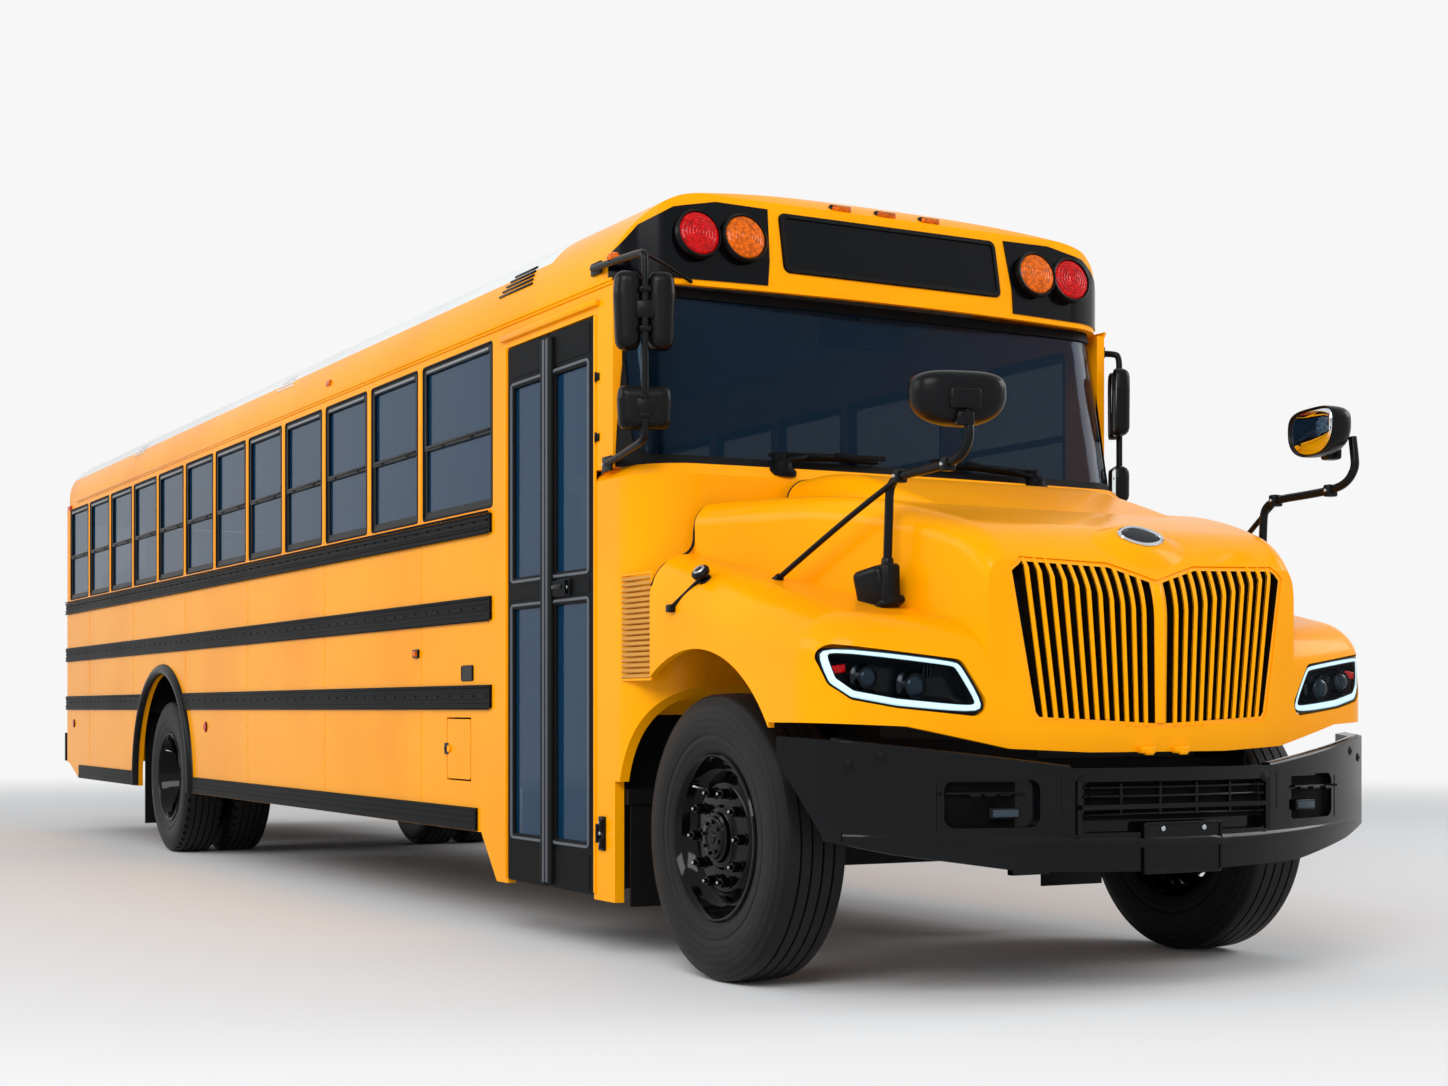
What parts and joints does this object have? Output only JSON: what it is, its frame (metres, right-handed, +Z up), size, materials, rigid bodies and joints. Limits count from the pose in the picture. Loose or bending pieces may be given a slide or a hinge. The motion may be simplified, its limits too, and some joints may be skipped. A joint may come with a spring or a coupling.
{
  "type": "school bus",
  "caption": "Long-nose school bus with a tilting hood, two-leaf entry door, ribbed side rails, a row of sash windows, dual rear wheels and a seated cabin.",
  "frame": {"origin": "on the ground, under the middle of the bus's length and width", "axes": "+Y towards the rear, -X towards the kerb side with the entry door, +Z up"},
  "size_m": [2.7, 12.34, 3.09],
  "materials": {
    "body_yellow": "gloss",
    "roof_white": "satin",
    "trim_black": "satin",
    "bumper_black": "gloss",
    "seal_rubber": "matte",
    "window_black": "satin black",
    "glass_tint": "clear, tinted",
    "lamp_clear": "gloss",
    "lamp_red": "gloss",
    "lamp_amber": "gloss",
    "panel_black": "gloss",
    "chassis_black": "satin",
    "engine_grey": "satin",
    "floor_dark": "matte",
    "dash_grey": "matte",
    "seat_vinyl": "satin",
    "mirror_black": "gloss",
    "tyre_black": "matte",
    "rim_black": "gloss",
    "stop_red": "gloss"
  },
  "bodies": {
    "chassis": {"frame_rails": "chassis_black", "engine": "engine_grey", "axles": "chassis_black", "driveline": "chassis_black", "fuel_tank": "chassis_black", "floor": "floor_dark", "side_wall_kerb": "body_yellow", "side_wall_driver": "body_yellow", "door_surround": "body_yellow", "cowl": "body_yellow", "front_cap": "body_yellow", "roof": "roof_white", "roof_coves": "body_yellow", "rear_cap": "body_yellow", "rear_wall": "body_yellow", "rub_rails": "trim_black", "bumper_front": "bumper_black", "bumper_rear": "trim_black", "window_frames": "window_black", "windscreen_gasket": "seal_rubber", "windscreen": "glass_tint", "side_glass": "glass_tint", "light_panels": "panel_black", "lamps_red": "lamp_red", "lamps_amber": "lamp_amber", "dashboard": "dash_grey", "driver_seat": "seat_vinyl", "passenger_seats": "seat_vinyl", "side_mirrors": "mirror_black", "wipers": "trim_black", "mud_flaps": "seal_rubber"},
    "hood": {"hood_shell": "body_yellow", "grille": "body_yellow", "grille_screen": "trim_black", "headlamps": "lamp_clear", "cross_mirrors": "mirror_black"},
    "entry_front": {"entry_leaf_front": "window_black", "entry_glass_front": "glass_tint"},
    "entry_rear": {"entry_leaf_rear": "window_black", "entry_glass_rear": "glass_tint"},
    "exit_door": {"rear_door": "body_yellow", "rear_door_glass": "glass_tint"},
    "hatch_front": {"roof_hatch_front": "roof_white"},
    "hatch_rear": {"roof_hatch_rear": "roof_white"},
    "stop_sign": {"stop_arm": "stop_red"},
    "battery_flap": {"battery_door": "body_yellow"},
    "steer_kerb": {"knuckle_kerb": "chassis_black"},
    "steer_driver": {"knuckle_driver": "chassis_black"},
    "wheel_front_kerb": {"tyre_front_kerb": "tyre_black", "rim_front_kerb": "rim_black"},
    "wheel_front_driver": {"tyre_front_driver": "tyre_black", "rim_front_driver": "rim_black"},
    "wheels_rear_kerb": {"tyres_rear_kerb": "tyre_black", "rim_rear_kerb": "rim_black"},
    "wheels_rear_driver": {"tyres_rear_driver": "tyre_black", "rim_rear_driver": "rim_black"},
    "steering": {"steering_wheel": "dash_grey"}
  },
  "joints": [
    {"name": "hood_tilt", "type": "hinge", "parent": "chassis", "child": "hood", "pos_m": [0, -6.02, 0.8], "axis": [1, 0, 0], "range_deg": [0, 55]},
    {"name": "entry_front_swing", "type": "hinge", "parent": "chassis", "child": "entry_front", "pos_m": [-1.22, -4.09, 1.4], "axis": [0, 0, 1], "range_deg": [0, 85]},
    {"name": "entry_rear_swing", "type": "hinge", "parent": "chassis", "child": "entry_rear", "pos_m": [-1.22, -3.21, 1.4], "axis": [0, 0, 1], "range_deg": [-85, 0]},
    {"name": "exit_swing", "type": "hinge", "parent": "chassis", "child": "exit_door", "pos_m": [-0.43, 6.07, 1.76], "axis": [0, 0, 1], "range_deg": [0, 110]},
    {"name": "hatch_front_lift", "type": "hinge", "parent": "chassis", "child": "hatch_front", "pos_m": [0, -1.912, 3.09], "axis": [1, 0, 0], "range_deg": [0, 45]},
    {"name": "hatch_rear_lift", "type": "hinge", "parent": "chassis", "child": "hatch_rear", "pos_m": [0, 3.388, 3.09], "axis": [1, 0, 0], "range_deg": [0, 45]},
    {"name": "stop_arm_swing", "type": "hinge", "parent": "chassis", "child": "stop_sign", "pos_m": [1.266, -3.92, 1.62], "axis": [0, 0, 1], "range_deg": [-90, 0]},
    {"name": "battery_swing", "type": "hinge", "parent": "chassis", "child": "battery_flap", "pos_m": [-1.22, -2.79, 0.8], "axis": [0, 0, 1], "range_deg": [0, 90]},
    {"name": "steer_kerb_turn", "type": "hinge", "parent": "chassis", "child": "steer_kerb", "pos_m": [-0.9, -5.02, 0.52], "axis": [0, 0, 1], "range_deg": [-35, 35]},
    {"name": "steer_driver_turn", "type": "hinge", "parent": "chassis", "child": "steer_driver", "pos_m": [0.9, -5.02, 0.52], "axis": [0, 0, 1], "range_deg": [-35, 35]},
    {"name": "steering_turn", "type": "hinge", "parent": "chassis", "child": "steering", "pos_m": [0.6, -3.89, 1.85], "axis": [0, 0.4695, 0.8829], "range_deg": [-595, 595]},
    {"name": "front_kerb_spin", "type": "hinge", "parent": "steer_kerb", "child": "wheel_front_kerb", "pos_m": [-1.062, -5.02, 0.52], "axis": [1, 0, 0], "continuous": true},
    {"name": "front_driver_spin", "type": "hinge", "parent": "steer_driver", "child": "wheel_front_driver", "pos_m": [1.062, -5.02, 0.52], "axis": [1, 0, 0], "continuous": true},
    {"name": "rear_kerb_spin", "type": "hinge", "parent": "chassis", "child": "wheels_rear_kerb", "pos_m": [-1.05, 2.86, 0.52], "axis": [1, 0, 0], "continuous": true},
    {"name": "rear_driver_spin", "type": "hinge", "parent": "chassis", "child": "wheels_rear_driver", "pos_m": [1.05, 2.86, 0.52], "axis": [1, 0, 0], "continuous": true}
  ],
  "couplings": [
    {"joint": "entry_rear_swing", "follows": "entry_front_swing", "ratio": -1},
    {"joint": "steer_driver_turn", "follows": "steer_kerb_turn", "ratio": 1},
    {"joint": "steering_turn", "follows": "steer_kerb_turn", "ratio": 17}
  ]
}
